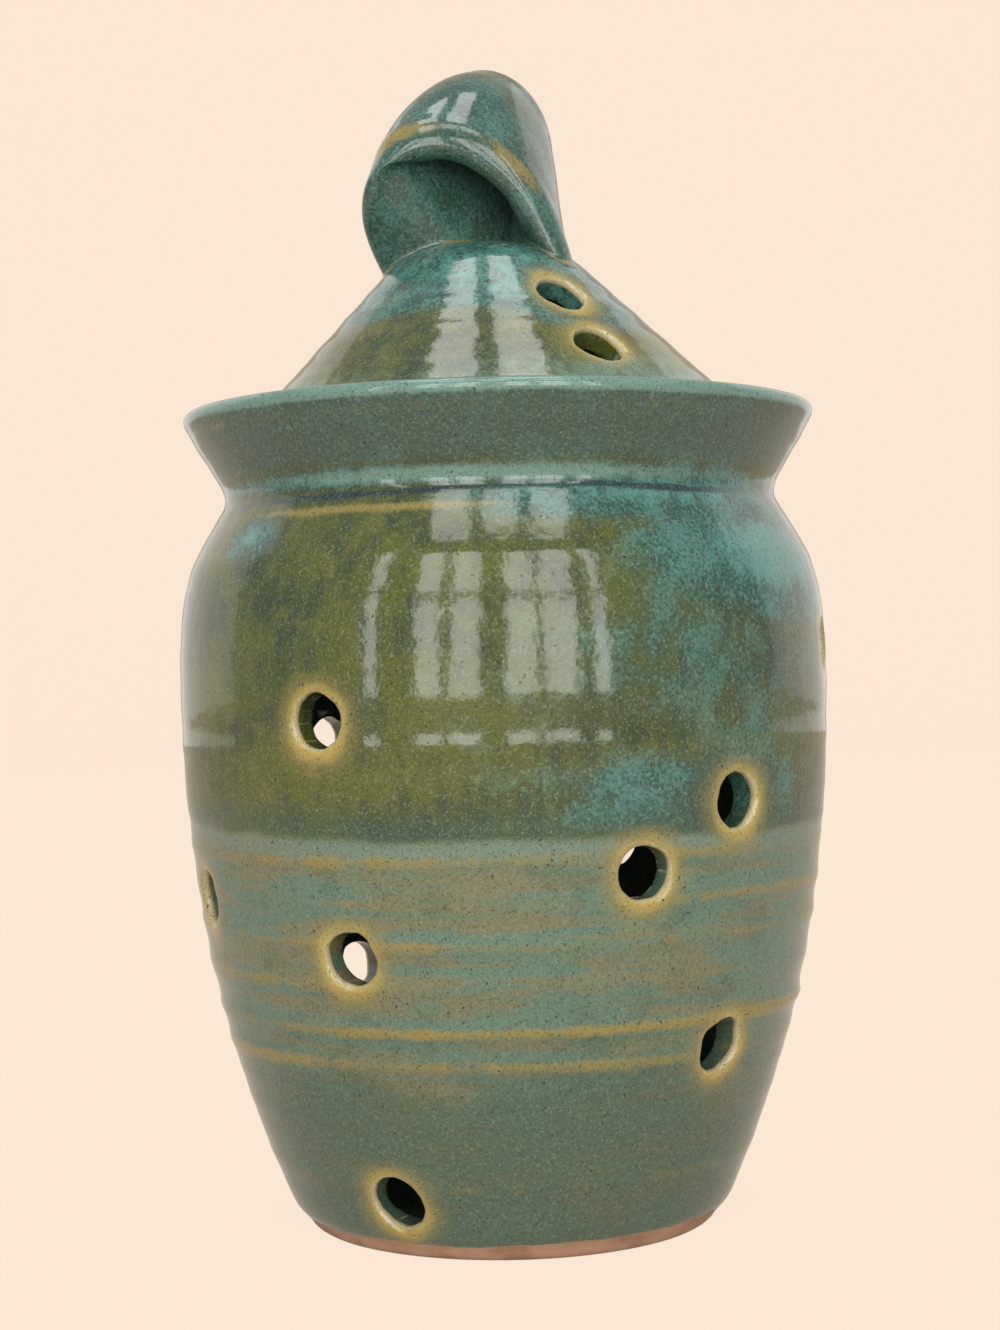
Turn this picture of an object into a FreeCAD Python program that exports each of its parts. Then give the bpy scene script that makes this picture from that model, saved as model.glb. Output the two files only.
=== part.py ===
import FreeCAD, Part
import math
import os

# Garlic keeper: a wheel-thrown stoneware jar with air holes and a drop-in lid whose
# handle is a wide strap of clay, curled over and joined at both ends.
# Millimetres. The origin is the middle of the foot on the table, +Z is up,
# and the side that faces a viewer is -Y.

# Jar, outside
foot_radius = 34.9
foot_bevel = 1.6
belly_height = 95.0
belly_radius = 54.2
wall_swell = 2.4
shoulder_rise = 27.5
neck_radius = 46.4
rim_rise = 13.7
rim_flare = 6.5
lip_thickness = 4.2

# Jar, inside
wall = 5.0
floor_thickness = 4.5
floor_corner = 12.0
foot_ring_width = 9.0
foot_recess = 1.6
throat_wall = 5.4
ledge_rise = 6.8
ledge_width = 5.3

# Throwing grooves on the lower wall, between the ridges that the glaze breaks over
ring_levels = (34.9, 41.3, 48.3, 54.3, 60.6)
ring_width = 4.2
ring_depth = 0.35

# Lid
lid_clearance = 0.7
lid_edge = 2.6
lid_wall = 4.8
cone_rise = 28.4
cone_step = 1.0
stem_radius = 16.5
dome_rise = 4.5
flange_depth = 9.0
flange_wall = 4.0
base_shift = 0.9
stem_shift = -1.2

# Air holes: (turn from the front in degrees, positive to the right, and level or height)
hole_radius = 4.2
hole_edge = 1.1
jar_holes = (
    (-31.3, 85.3), (-28.0, 49.2), (-27.5, 9.9),
    (23.4, 61.6), (42.2, 71.8), (44.3, 33.6),
    (78.0, 95.5), (104.0, 47.0), (120.0, 78.0),
    (154.5, 59.7), (176.0, 31.0), (-165.0, 91.0),
    (-139.0, 80.0), (-141.5, 38.5), (-112.0, 66.0),
    (-88.0, 21.0), (-68.5, 56.6),
)
lid_hole_radius = 4.1
lid_hole_turns = (31.0, 151.0, -89.0)
lid_hole_rises = (15.0, 24.4)

# Handle strap: each station gives the middle of its front edge and of its back edge,
# as shares of the loop's half span, half depth and rise
loop_half_span = 14.5
loop_half_depth = 9.4
loop_rise = 32.6
loop_shift = -1.8
strap_thickness = 6.8
strap_swell = 2.0
strap_squareness = 2.5
strap_section_points = 16
strap_section_count = 16
strap_stations = (
    ((-0.64, 0.08, -0.28), (0.04, 0.30, -0.28)),
    ((-0.95, -0.05, 0.02), (0.03, 0.34, 0.02)),
    ((-1.12, -0.50, 0.25), (0.02, 0.70, 0.34)),
    ((-1.09, -0.80, 0.45), (-0.06, 0.96, 0.65)),
    ((-0.88, -0.93, 0.58), (-0.20, 1.00, 0.90)),
    ((-0.42, -0.98, 0.63), (0.01, 0.94, 1.00)),
    ((0.09, -0.98, 0.54), (0.40, 0.88, 0.93)),
    ((0.50, -0.94, 0.35), (0.62, 0.88, 0.70)),
    ((0.74, -0.88, 0.13), (0.60, 0.88, 0.38)),
    ((0.84, -0.78, -0.06), (0.43, 0.88, 0.05)),
    ((0.81, -0.62, -0.31), (0.39, 0.82, -0.28)),
)

neck_level = belly_height + shoulder_rise
rim_level = neck_level + rim_rise
rim_radius = neck_radius + rim_flare
throat_radius = neck_radius - throat_wall
ledge_level = neck_level + ledge_rise
ledge_radius = throat_radius + ledge_width
lid_radius = ledge_radius - lid_clearance
flange_radius = throat_radius - lid_clearance
edge_level = ledge_level + lid_edge
cone_radius = lid_radius - cone_step
cone_slope = math.atan2(cone_rise, cone_radius - stem_radius)
stem_level = edge_level + cone_rise
lid_top = stem_level + dome_rise
overrun = 2.0


def point(radius, level):
    return FreeCAD.Vector(radius, 0.0, level)


def line(start, end):
    return Part.makeLine(start, end)


def smooth(points, first=None, last=None):
    """A spline through the points, with the directions at its ends where they are given."""
    curve = Part.BSplineCurve()
    if first is None:
        curve.interpolate(Points=points)
    else:
        curve.interpolate(Points=points, InitialTangent=first, FinalTangent=last)
    return curve


def turned(edges):
    """The solid that a closed outline beside the axis sweeps in one turn about Z."""
    face = Part.Face(Part.Wire(edges))
    return face.revolve(FreeCAD.Vector(0, 0, 0), FreeCAD.Vector(0, 0, 1), 360)


def swelling_radius(level):
    """Outer radius between foot and belly: it swells fast at the foot and slows to the belly."""
    share = min(max(level / belly_height, 0.0), 1.0)
    return foot_radius + (belly_radius - foot_radius) * (1.0 - (1.0 - share) ** wall_swell)


def outer_curve():
    """The jar's outside from the foot's bevel up to the lip."""
    shares = (0.1, 0.21, 0.33, 0.48, 0.66, 0.83)
    points = [point(swelling_radius(foot_bevel), foot_bevel)]
    points += [point(swelling_radius(belly_height * share), belly_height * share) for share in shares]
    drop = belly_radius - neck_radius
    points += [
        point(belly_radius, belly_height),
        point(belly_radius - 0.10 * drop, belly_height + 0.34 * shoulder_rise),
        point(belly_radius - 0.33 * drop, belly_height + 0.58 * shoulder_rise),
        point(belly_radius - 0.80 * drop, belly_height + 0.82 * shoulder_rise),
        point(neck_radius, neck_level),
        point(neck_radius + 0.39 * rim_flare, neck_level + 0.41 * rim_rise),
        point(rim_radius, rim_level - 0.4 * lip_thickness),
    ]
    return smooth(points)


def radius_at(curve, level):
    """The curve's radius at a level, found by halving, for a curve that only rises."""
    low, high = curve.FirstParameter, curve.LastParameter
    for _ in range(50):
        middle = 0.5 * (low + high)
        if curve.value(middle).z < level:
            low = middle
        else:
            high = middle
    return curve.value(low).x


def jar_wall():
    """The thrown jar: foot ring, wall, neck, ledge for the lid and flared rim."""
    outside = outer_curve()
    foot = outside.value(outside.FirstParameter)
    lip = outside.value(outside.LastParameter)
    lip_inside = point(lip.x - lip_thickness, lip.z)
    lip_top = point(lip.x - 0.5 * lip_thickness, rim_level)
    seat_corner = point(ledge_radius, ledge_level)
    throat_top = point(throat_radius, ledge_level)
    throat_foot = point(throat_radius, neck_level - 0.12 * shoulder_rise)
    ring_inside = foot_radius - foot_bevel - foot_ring_width

    levels = [0.72, 0.5, 0.3]
    inside_points = [throat_foot, point(belly_radius - wall, belly_height)]
    for share in levels:
        level = share * belly_height
        inside_points.append(point(swelling_radius(level) - wall, level))
    corner_level = floor_thickness + 0.45 * floor_corner
    inside_points.append(point(swelling_radius(corner_level) - wall - 0.12 * floor_corner, corner_level))
    inside_points.append(point(swelling_radius(floor_thickness) - wall - floor_corner, floor_thickness))
    inside = smooth(inside_points)

    edges = [
        line(point(0, foot_recess), point(ring_inside - foot_recess, foot_recess)),
        line(point(ring_inside - foot_recess, foot_recess), point(ring_inside, 0)),
        line(point(ring_inside, 0), point(foot_radius - foot_bevel, 0)),
        line(point(foot_radius - foot_bevel, 0), foot),
        outside.toShape(),
        Part.Arc(lip, lip_top, lip_inside).toShape(),
        line(lip_inside, seat_corner),
        line(seat_corner, throat_top),
        line(throat_top, throat_foot),
        inside.toShape(),
        line(inside_points[-1], point(0, floor_thickness)),
        line(point(0, floor_thickness), point(0, foot_recess)),
    ]
    return turned(edges)


def ring_groove(level):
    """The shallow round groove that a finger leaves on the turning wall."""
    outside = outer_curve()
    low = point(radius_at(outside, level - 0.5 * ring_width), level - 0.5 * ring_width)
    high = point(radius_at(outside, level + 0.5 * ring_width), level + 0.5 * ring_width)
    middle = point(radius_at(outside, level) - ring_depth, level)
    far = 1.0
    edges = [
        Part.Arc(low, middle, high).toShape(),
        line(high, point(high.x + far, high.z)),
        line(point(high.x + far, high.z), point(low.x + far, low.z)),
        line(point(low.x + far, low.z), low),
    ]
    return turned(edges)


def hole_tool(radius, reach, depth):
    """A pin along +X that cuts a hole and flares its outer edge, which lies at reach."""
    flare = radius + hole_edge
    start = reach - depth
    bend = hole_edge * (1.0 - math.sqrt(0.5))
    corner = FreeCAD.Vector(reach - hole_edge, 0, radius)
    middle = FreeCAD.Vector(reach - bend, 0, radius + bend)
    edge = FreeCAD.Vector(reach, 0, flare)
    tip = FreeCAD.Vector(reach + overrun, 0, flare)
    edges = [
        line(FreeCAD.Vector(start, 0, 0), FreeCAD.Vector(start, 0, radius)),
        line(FreeCAD.Vector(start, 0, radius), corner),
        Part.Arc(corner, middle, edge).toShape(),
        line(edge, tip),
        line(tip, FreeCAD.Vector(reach + overrun, 0, 0)),
        line(FreeCAD.Vector(reach + overrun, 0, 0), FreeCAD.Vector(start, 0, 0)),
    ]
    face = Part.Face(Part.Wire(edges))
    return face.revolve(FreeCAD.Vector(0, 0, 0), FreeCAD.Vector(1, 0, 0), 360)


def placed_hole(tool, turn, level, climb=0.0):
    """The tool raised to a level, tipped up by climb degrees and turned from the front."""
    tool.rotate(FreeCAD.Vector(0, 0, 0), FreeCAD.Vector(0, 1, 0), -climb)
    tool.translate(FreeCAD.Vector(0, 0, level))
    tool.rotate(FreeCAD.Vector(0, 0, 0), FreeCAD.Vector(0, 0, 1), turn - 90.0)
    return tool


def jar():
    outside = outer_curve()
    grooves = [ring_groove(level) for level in ring_levels]
    depth = wall + floor_corner
    holes = [
        placed_hole(hole_tool(hole_radius, radius_at(outside, level), depth), turn, level)
        for turn, level in jar_holes
    ]
    return jar_wall().cut(grooves + holes).removeSplitter()


def band(inner, outer, low, high):
    """A plain ring about Z, or a plug where the inner radius is zero."""
    return turned([
        line(point(inner, low), point(outer, low)),
        line(point(outer, low), point(outer, high)),
        line(point(outer, high), point(inner, high)),
        line(point(inner, high), point(inner, low)),
    ])


def middle_shift(level):
    """How far the leaning cone's middle stands off the axis at a level."""
    share = (level - edge_level) / cone_rise
    return base_shift + share * (stem_shift - base_shift)


def cone_and_dome(inset):
    """The lid's leaning cone and its low dome, or the hollow that lies inset within them."""
    base_radius = cone_radius - inset / math.sin(cone_slope)
    top_radius = stem_radius - inset * math.sin(cone_slope)
    top_level = stem_level - inset * math.cos(cone_slope)
    top_shift = middle_shift(top_level)
    crown = point(0, lid_top - inset)
    stem = point(top_radius, top_level)
    bend = point(0.6 * top_radius, top_level + 0.78 * (crown.z - top_level))
    along = FreeCAD.Vector(-math.cos(cone_slope), 0, math.sin(cone_slope))
    cap = smooth([stem, bend, crown], along, FreeCAD.Vector(-1, 0, 0))
    dome = turned([line(point(0, top_level), stem), cap.toShape(), line(crown, point(0, top_level))])
    dome.translate(FreeCAD.Vector(top_shift, 0, 0))
    up = FreeCAD.Vector(0, 0, 1)
    base_ring = Part.Wire(Part.makeCircle(base_radius, point(base_shift, edge_level), up))
    top_ring = Part.Wire(Part.makeCircle(top_radius, point(top_shift, top_level), up))
    return [Part.makeLoft([base_ring, top_ring], True, True), dome]


def lid_outside():
    return band(0, lid_radius, ledge_level, edge_level).fuse(cone_and_dome(0.0))


def lid_hollow():
    """The hollow of the lid, carried on downwards through its flat edge."""
    open_end = band(0, cone_radius - lid_wall / math.sin(cone_slope), ledge_level - overrun, edge_level)
    open_end.translate(FreeCAD.Vector(base_shift, 0, 0))
    return open_end.fuse(cone_and_dome(lid_wall))


def lid_holes():
    """Pairs of holes, one above the other, square to the cone."""
    climb = 0.5 * math.pi - cone_slope
    tools = []
    for turn in lid_hole_turns:
        for rise in lid_hole_rises:
            share = (rise - lid_edge) / cone_rise
            radius = cone_radius + share * (stem_radius - cone_radius)
            reach = radius / math.cos(climb)
            axis_level = ledge_level + rise - radius * math.tan(climb)
            tool = hole_tool(lid_hole_radius, reach, 3.0 * lid_wall)
            tool = placed_hole(tool, turn, axis_level, math.degrees(climb))
            tool.translate(FreeCAD.Vector(middle_shift(ledge_level + rise), 0, 0))
            tools.append(tool)
    return tools


def lid():
    """The thrown lid: hollow leaning cone, flat edge that sits on the ledge, and flange."""
    cone = lid_outside().cut([lid_hollow()] + lid_holes())
    flange_inside = flange_radius - flange_wall
    flange = band(flange_inside, flange_radius, ledge_level - flange_depth, edge_level)
    return cone.fuse(flange).removeSplitter()


def strap_point(shares):
    """A station's point: shares of half span, half depth and rise, from the lid's stem."""
    x, y, z = shares
    return FreeCAD.Vector(x * loop_half_span + loop_shift, y * loop_half_depth, stem_level + z * loop_rise)


def strap_section(front, back, travel, thickness):
    """Points round the strap's flat, soft-cornered section, from back edge to back edge."""
    across = back.sub(front)
    half_width = 0.5 * (across.Length + thickness)
    across.normalize()
    travel = travel.sub(across * travel.dot(across)).normalize()
    outward = travel.cross(across)
    middle = (front + back) * 0.5
    power = 2.0 / strap_squareness
    ring = []
    for index in range(strap_section_points):
        turn = 2.0 * math.pi * index / strap_section_points
        wide = math.copysign(abs(math.cos(turn)) ** power, math.cos(turn)) * half_width
        thick = math.copysign(abs(math.sin(turn)) ** power, math.sin(turn)) * 0.5 * thickness
        ring.append(middle + across * wide + outward * thick)
    return ring + ring[:1]


def guide(points, parameters):
    curve = Part.BSplineCurve()
    curve.interpolate(Points=points, Parameters=parameters)
    return curve


def handle():
    """The strap: one smooth skin over evenly spaced sections, cut to lie on the lid."""
    fronts = [strap_point(front) for front, back in strap_stations]
    backs = [strap_point(back) for front, back in strap_stations]
    middles = [(front + back) * 0.5 for front, back in zip(fronts, backs)]
    parameters = [0.0]
    for start, end in zip(middles, middles[1:]):
        parameters.append(parameters[-1] + end.sub(start).Length)
    front_guide = guide(fronts, parameters)
    back_guide = guide(backs, parameters)
    middle_guide = guide(middles, parameters)
    sections = []
    for index in range(strap_section_count + 1):
        place = parameters[-1] * index / strap_section_count
        travel = middle_guide.tangent(place)[0]
        thickness = strap_thickness + strap_swell * math.sin(math.pi * index / strap_section_count)
        sections.append(strap_section(front_guide.value(place), back_guide.value(place), travel, thickness))
    skin = Part.BSplineSurface()
    skin.interpolate(sections)
    low, high, _, _ = skin.bounds()
    ends = [Part.Face(Part.Wire(skin.uIso(end).toShape())) for end in (low, high)]
    shell = Part.Shell([skin.toShape()] + ends)
    shell.sewShape()
    return Part.Solid(shell).cut(lid_outside())


def export(name, shape):
    """One solid to one STEP file."""
    print(name, "solids", len(shape.Solids), "valid", shape.isValid(), "volume", round(shape.Volume, 1))
    shape.Solids[0].exportStep(os.path.join("parts", name + ".step"))


os.makedirs("parts", exist_ok=True)
export("jar", jar())
export("lid", lid())
export("lid_handle", handle())
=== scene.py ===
"""Garlic keeper: the looks of a glazed, pierced stoneware jar and its strap-handled lid."""
import math

import bpy
import numpy as np
from mathutils import Euler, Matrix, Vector


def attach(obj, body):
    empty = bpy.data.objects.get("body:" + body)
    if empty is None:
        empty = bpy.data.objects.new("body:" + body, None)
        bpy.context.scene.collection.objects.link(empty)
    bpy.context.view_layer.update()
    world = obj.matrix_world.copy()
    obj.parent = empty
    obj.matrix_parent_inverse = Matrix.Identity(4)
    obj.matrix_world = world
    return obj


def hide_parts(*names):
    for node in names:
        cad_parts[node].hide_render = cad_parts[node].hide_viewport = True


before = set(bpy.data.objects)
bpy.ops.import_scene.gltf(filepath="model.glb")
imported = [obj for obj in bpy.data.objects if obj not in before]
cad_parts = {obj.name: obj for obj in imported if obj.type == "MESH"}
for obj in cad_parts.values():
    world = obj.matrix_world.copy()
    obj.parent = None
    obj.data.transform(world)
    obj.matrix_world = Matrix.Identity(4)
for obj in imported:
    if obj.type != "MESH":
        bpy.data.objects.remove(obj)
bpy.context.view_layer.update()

MM = 0.001

# Sizes in millimetres, the same as the solids; the origin is the middle of the foot.
# Most pairs are a radius and a level.
WALL_SWELL = 2.4
WALL = 5.0
FLOOR_LEVEL = 4.5
FOOT_RADIUS = 34.9
BELLY = (54.2, 95.0)
NECK = (46.4, 122.5)
RIM = (52.9, 136.2)
LEDGE_LEVEL = 129.3
LEDGE_RADIUS = 46.3
THROAT_RADIUS = 41.0
LID_RADIUS = 45.6
LID_EDGE_LEVEL = 131.9
STEM = (16.5, 160.3)
CROWN_LEVEL = 164.8
FLANGE_RADII = (36.3, 40.3)
FLANGE_LEVEL = 120.3
LID_WALL = 4.8
CONE_RADIUS = 44.6
CONE_SHIFTS = (0.9, -1.2)
HOLE_RADIUS = 4.2
LID_HOLE_RADIUS = 4.1
HOLE_EDGE = 1.0
HOLE_INNER_EDGE = 0.4
HOLE_PATCH = 6.9
LID_HOLE_PATCH = 6.3
OUT_OF_REACH = 99.0
ON_INNER_SKIN = 40.0
SKIN_LAYERS = 7
# What the glaze reads at each vertex where a piece doesn't say otherwise: distance from a hole and
# from a hole's drip, bare clay, teal, ridges, height over the second coat's edge, pale (partly painted
# highlight and painted reflection), dark, even
LAYERS = {
    "hole": OUT_OF_REACH, "drip": OUT_OF_REACH, "bare": -9.0, "teal": 0.0, "ridge": 0.0,
    "curtain": 20.0, "pale": 0.0, "dark": 0.0, "even": 0.0,
}
STRAP_THICKNESS = 6.8
STRAP_SWELL = 2.0
STRAP_SQUARENESS = 2.2
LOOP_HALF_SPAN = 14.5
LOOP_HALF_DEPTH = 9.4
LOOP_RISE = 32.6
LOOP_SHIFT = -1.8
FILLET = 1.2
HALO_SINK = 0.9
STRAP_COLUMNS = 96
STRAP_ROWS = 121
FILLET_ROWS = 9
# Handle strap: the middle of its front edge and of its back edge, as shares of the loop
STRAP_STATIONS = (
    ((-0.64, 0.08, -0.28), (0.04, 0.30, -0.28)),
    ((-0.95, -0.05, 0.02), (0.06, 0.32, 0.02)),
    ((-1.12, -0.50, 0.25), (0.15, 0.62, 0.34)),
    ((-1.09, -0.80, 0.45), (0.02, 0.94, 0.65)),
    ((-0.88, -0.93, 0.58), (-0.20, 1.00, 0.90)),
    ((-0.42, -0.98, 0.63), (0.01, 0.94, 1.00)),
    ((0.09, -0.98, 0.54), (0.40, 0.88, 0.93)),
    ((0.50, -0.94, 0.35), (0.62, 0.88, 0.70)),
    ((0.74, -0.88, 0.13), (0.58, 0.90, 0.38)),
    ((0.84, -0.78, -0.06), (0.41, 0.91, 0.05)),
    ((0.81, -0.62, -0.31), (0.38, 0.84, -0.28)),
)

# Camera, in millimetres and degrees
CAMERA_PLACE = (0.0, -408.7, 93.3)
CAMERA_LENS = 64.96
CAMERA_SHIFT = -2.0 / 1330.0
CAMERA_ROLL = -1.2

# Colours
PEACH = (1.0, 0.83, 0.68)
PEACH_SEEN = 0.94
PEACH_MIRRORED = 0.44
FLOOR = (0.60, 0.50, 0.42)
OLIVE = (0.098, 0.110, 0.014)
OLIVE_DEEP = (0.040, 0.060, 0.020)
OLIVE_OCHRE = (0.150, 0.150, 0.028)
TEAL = (0.062, 0.182, 0.150)
TEAL_DEEP = (0.028, 0.086, 0.070)
TURQUOISE = (0.100, 0.290, 0.250)
SAGE = (0.112, 0.200, 0.140)
SAGE_DEEP = (0.062, 0.110, 0.070)
SAGE_GREY = (0.185, 0.180, 0.098)
UNDER_EDGE = (0.170, 0.235, 0.175)
# Pale glaze bands, also the colour of the painted highlight on the jar's lip and the painted reflection on
# the lid's lower cone
PALE_BAND_AND_PAINTED_LIGHT = (0.170, 0.300, 0.245)
OCHRE = (0.300, 0.228, 0.062)
HALO = (0.480, 0.350, 0.090)
CREAM = (0.620, 0.520, 0.320)
FLARE_GREEN = (0.055, 0.104, 0.074)
BLUE_BLACK = (0.010, 0.030, 0.040)
PALE_GRAIN = (0.270, 0.330, 0.230)
DARK_GRAIN = (0.020, 0.035, 0.028)
SPECK = (0.016, 0.018, 0.012)
CLAY = (0.520, 0.310, 0.190)
CLAY_RED = (0.360, 0.190, 0.110)
CLAY_PALE = (0.560, 0.400, 0.280)
WORLD_COLOUR = (0.92, 0.96, 1.0)
WORLD_STRENGTH = 0.46

# Windows in front, in metres: each column of panes by its turn from the front in degrees, its
# distance and its width, and each row by its lowest and highest edge. Then the panes of a skylight
# and two pale walls beside the pot. Each kind has its radiance.
PANES = (
    (-44.0, 1.45, 0.10), (-24.0, 1.50, 0.22), (-11.5, 1.50, 0.26), (7.5, 1.50, 0.26),
    (20.5, 1.50, 0.30), (34.0, 1.50, 0.12),
)
PANE_ROWS = ((0.03, 0.56), (0.61, 1.36))
PANE_GLOW = 4.2
SKY_PANES = ((-0.34, -0.62), (0.02, -0.62), (0.38, -0.62), (-0.26, 0.12), (0.14, 0.12))
SKY_SIZE = (0.27, 0.46)
SKY_LEVEL = 1.45
SKY_GLOW = 3.4
WALL_PLACES = ((-1.15, 1.10), (1.15, 1.10))
WALL_SIZE = (1.70, 1.45)
WALL_MIDDLE = 0.74
WALL_GLOW = 0.55
WINDOW_COLOUR = (1.0, 0.99, 0.96)
WALL_COLOUR = (0.93, 0.97, 1.0)

# Air holes: turn from the front in degrees and level
JAR_HOLES = (
    (-31.3, 85.3), (-28.0, 49.2), (-27.5, 9.9),
    (23.4, 61.6), (42.2, 71.8), (44.3, 33.6),
    (78.0, 95.5), (104.0, 47.0), (120.0, 78.0),
    (154.5, 59.7), (176.0, 31.0), (-165.0, 91.0),
    (-139.0, 80.0), (-141.5, 38.5), (-112.0, 66.0),
    (-88.0, 21.0), (-68.5, 56.6),
)
LID_HOLE_TURNS = (31.0, 151.0, -89.0)
LID_HOLE_LEVELS = (144.3, 153.7)

# Ochre throwing ridges: level, height of the ridge, half width
RIDGES = (
    (64.0, 0.24, 1.5), (57.4, 0.26, 1.3), (51.6, 0.26, 1.2),
    (45.3, 0.22, 1.8), (37.9, 0.48, 1.05), (32.4, 0.26, 1.5),
    (13.0, 0.16, 1.8),
)
CURTAIN_LEVEL = 67.3

# Teal patches of the jar's upper glaze: turn, level, half width, half height, strength
JAR_TEAL = (
    (56.0, 110.0, 30.0, 10.0, 1.35), (34.0, 119.5, 42.0, 4.6, 1.15), (-50.0, 114.0, 7.0, 3.5, 1.1),
    (-28.0, 122.6, 50.0, 1.8, 0.9), (34.0, 74.0, 40.0, 8.0, 0.66), (36.0, 92.0, 42.0, 20.0, 0.48),
    (150.0, 110.0, 34.0, 10.0, 1.2), (-152.0, 98.0, 30.0, 15.0, 0.6), (-105.0, 118.0, 22.0, 5.0, 1.0),
    (105.0, 80.0, 24.0, 12.0, 0.55), (180.0, 74.0, 45.0, 6.0, 0.6),
)


def smooth_step(low, high, value):
    share = np.clip((value - low) / (high - low), 0.0, 1.0)
    return share * share * (3.0 - 2.0 * share)


def waves(turn, seed, lobes, roughness=0.6):
    """A closed random wave round the pot, about -1 to 1, made of a few whole lobes."""
    rng = np.random.default_rng(seed)
    total = np.zeros_like(turn)
    weight = 0.0
    for lobe in range(1, lobes + 1):
        size = 1.0 / lobe ** roughness
        total = total + size * np.sin(lobe * turn + rng.uniform(0, 2 * math.pi))
        weight += size * size
    return total / math.sqrt(weight)


def bump_at(value, middle, half_width):
    return np.exp(-((value - middle) / half_width) ** 2)


def turn_gap(turn, middle):
    """The angle between a turn and a middle in degrees, by the short way round."""
    gap = np.degrees(turn) - middle
    return (gap + 180.0) % 360.0 - 180.0


def between(start, end, low, high, place):
    """The straight line from start, at low, to end, at high, read at a place."""
    return (high - place) / (high - low) * start + (place - low) / (high - low) * end


def drawn_line(stations, step):
    """A line through stations (radius, level), curved between them by Catmull-Rom."""
    points = np.array(stations, float)
    head = 2 * points[0] - points[1]
    tail = 2 * points[-1] - points[-2]
    padded = np.vstack([head, points, tail])
    pieces = []
    for index in range(1, len(padded) - 2):
        four = padded[index - 1:index + 3]
        knots = [0.0]
        for start, end in zip(four, four[1:]):
            knots.append(knots[-1] + max(np.linalg.norm(end - start), 1e-6) ** 0.5)
        count = max(4, int(np.linalg.norm(four[2] - four[1]) / step))
        place = np.linspace(knots[1], knots[2], count, endpoint=False)[:, None]
        chords = [between(four[i], four[i + 1], knots[i], knots[i + 1], place) for i in range(3)]
        bows = [between(chords[i], chords[i + 1], knots[i], knots[i + 2], place) for i in range(2)]
        pieces.append(between(bows[0], bows[1], knots[1], knots[2], place))
    pieces.append(points[-1:])
    line = np.vstack(pieces)
    line[:, 0] = np.maximum(line[:, 0], 0.0)
    return line


class Thrown:
    """A thrown form: an outline turned about Z, with the marks that the potter's hand left."""

    def __init__(self, line, marks, lean):
        steps = np.linalg.norm(np.diff(line, axis=0), axis=1)
        self.run = np.concatenate([[0.0], np.cumsum(steps)])
        self.line = line
        along = np.gradient(line, axis=0)
        along /= np.linalg.norm(along, axis=1)[:, None]
        self.normal = np.stack([along[:, 1], -along[:, 0]], axis=1)
        heading = np.unwrap(np.arctan2(along[:, 1], along[:, 0]))
        self.bend = np.abs(np.gradient(heading, self.run + 1e-9 * np.arange(len(line))))
        self.marks = marks
        self.lean = lean

    def rows(self, spacing, finest):
        """Runs of the mesh's rows: evenly spaced, and closer where the outline bends."""
        bend = np.convolve(self.bend, np.ones(9) / 9, mode="same")
        density = np.minimum(1.0 / spacing + 1.4 * bend, 1.0 / finest)
        count = 0.5 * (density[1:] + density[:-1]) * np.diff(self.run)
        total = np.concatenate([[0.0], np.cumsum(count)])
        return np.interp(np.linspace(0, total[-1], int(total[-1]) + 1), total, self.run)

    def flat(self, run):
        """Radius, level and outward normal of the plain outline."""
        return [np.interp(run, self.run, column) for column in (*self.line.T, *self.normal.T)]

    def at(self, turn, run):
        radius, level, out, up = self.flat(run)
        raised = self.marks(turn, level, out)
        radius = radius + raised * out
        level = level + raised * up
        return np.stack([radius * np.sin(turn) + self.lean(level), -radius * np.cos(turn), level], axis=-1)

    def meet(self, hole, a, b, turn, run):
        """The turn and run at which the surface lies at (a, b) in a hole's own plane."""
        turn = np.array(turn, float)
        run = np.array(run, float)
        small = 0.02
        for _ in range(12):
            here = self.at(turn, run)
            by_turn = (self.at(turn + small / 50.0, run) - here) / (small / 50.0)
            by_run = (self.at(turn, run + small) - here) / small
            miss_a = (here - hole.origin) @ hole.across - a
            miss_b = (here - hole.origin) @ hole.climb - b
            a_by_turn, a_by_run = by_turn @ hole.across, by_run @ hole.across
            b_by_turn, b_by_run = by_turn @ hole.climb, by_run @ hole.climb
            size = a_by_turn * b_by_run - a_by_run * b_by_turn
            turn -= np.clip((miss_a * b_by_run - miss_b * a_by_run) / size, -0.05, 0.05)
            run -= np.clip((miss_b * a_by_turn - miss_a * b_by_turn) / size, -1.5, 1.5)
        return turn, run


class Hole:
    """A round hole through a wall: its axis, its own plane, its radius and the seed of its waver."""

    def __init__(self, origin, outward, climb, radius, seed):
        self.origin = origin
        self.outward = outward
        self.climb = climb
        self.across = np.cross(climb, outward)
        self.radius = radius
        self.seed = seed

    def waver(self, angle):
        """The edge's radius as a share of a true circle's."""
        return 1.0 + 0.035 * waves(angle, self.seed, 5) + 0.012 * waves(angle, self.seed + 50, 14, 0.2)

    def ring(self, away, angle, depth):
        """Points at a distance from the axis, an angle round it and a depth along it."""
        points = self.origin + np.outer(away * np.cos(angle), self.across)
        points = points + np.outer(away * np.sin(angle), self.climb)
        return points + np.outer(depth, self.outward)


def bore_steps(radius, outer_depth, inner_depth):
    """The rings of a hole: down its rounded outer edge, along its bore, round its inner edge."""
    steps = []
    for bow in np.linspace(0.0, 1.0, 7)[1:] * math.pi / 2:
        depth = outer_depth - HOLE_EDGE * (1 - math.cos(bow))
        steps.append((radius + HOLE_EDGE * (1 - math.sin(bow)), depth, 0.0))
    for share in np.linspace(0.0, 1.0, 7)[1:]:
        depth = (outer_depth - HOLE_EDGE) * (1 - share) + (inner_depth + HOLE_INNER_EDGE) * share
        steps.append((radius, depth, share))
    for bow in np.linspace(1.0, 0.0, 4)[1:-1] * math.pi / 2:
        depth = inner_depth + HOLE_INNER_EDGE * (1 - math.cos(bow))
        steps.append((radius + HOLE_INNER_EDGE * (1 - math.sin(bow)), depth, 1.0))
    return steps


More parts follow.
